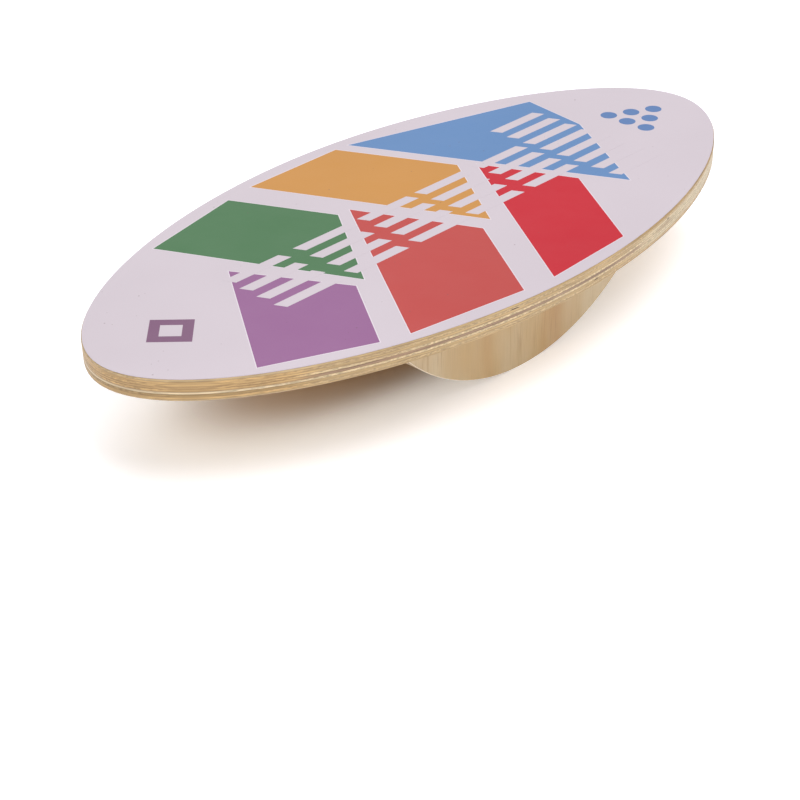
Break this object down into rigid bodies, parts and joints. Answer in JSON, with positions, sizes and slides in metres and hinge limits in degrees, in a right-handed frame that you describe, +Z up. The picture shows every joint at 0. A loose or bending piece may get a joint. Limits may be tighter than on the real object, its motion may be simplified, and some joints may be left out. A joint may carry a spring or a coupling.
{
  "type": "balance board",
  "caption": "Lens-shaped plywood balance board with a printed top, on curved plywood rockers let into its underside and joined by a crossbar; it rocks along its length.",
  "frame": {"origin": "on the floor under the middle of the board, half way between the lowest lines of the two rockers", "axes": "+X along the deck's length, +Y across it from the front rocker to the rear one, +Z up; the board stands level"},
  "size_m": [0.7, 0.336, 0.1044],
  "materials": {
    "printed_film": "satin",
    "face_veneer": "clear satin lacquer",
    "cross_ply": "sanded end grain",
    "long_ply": "sanded long grain",
    "screw_steel": "bright zinc plated"
  },
  "bodies": {
    "root": {"printed_sheet": "printed_film", "deck_bottom_veneer": "face_veneer", "deck_core_ply_1": "cross_ply", "deck_core_ply_2": "long_ply", "deck_core_ply_3": "cross_ply", "deck_core_ply_4": "long_ply", "deck_core_ply_5": "cross_ply", "deck_core_ply_6": "long_ply", "deck_core_ply_7": "cross_ply", "deck_top_veneer": "face_veneer", "rocker_front_inner_veneer": "face_veneer", "rocker_front_core_ply_1": "cross_ply", "rocker_front_core_ply_2": "long_ply", "rocker_front_core_ply_3": "cross_ply", "rocker_front_core_ply_4": "long_ply", "rocker_front_core_ply_5": "cross_ply", "rocker_front_core_ply_6": "long_ply", "rocker_front_core_ply_7": "cross_ply", "rocker_front_outer_veneer": "face_veneer", "rocker_rear_inner_veneer": "face_veneer", "rocker_rear_core_ply_1": "cross_ply", "rocker_rear_core_ply_2": "long_ply", "rocker_rear_core_ply_3": "cross_ply", "rocker_rear_core_ply_4": "long_ply", "rocker_rear_core_ply_5": "cross_ply", "rocker_rear_core_ply_6": "long_ply", "rocker_rear_core_ply_7": "cross_ply", "rocker_rear_outer_veneer": "face_veneer", "crossbar_left_veneer": "face_veneer", "crossbar_core_ply_1": "cross_ply", "crossbar_core_ply_2": "long_ply", "crossbar_core_ply_3": "cross_ply", "crossbar_core_ply_4": "long_ply", "crossbar_core_ply_5": "cross_ply", "crossbar_core_ply_6": "long_ply", "crossbar_core_ply_7": "cross_ply", "crossbar_core_ply_8": "long_ply", "crossbar_core_ply_9": "cross_ply", "crossbar_right_veneer": "face_veneer", "screw_front": "screw_steel", "screw_rear": "screw_steel"}
  },
  "joints": []
}
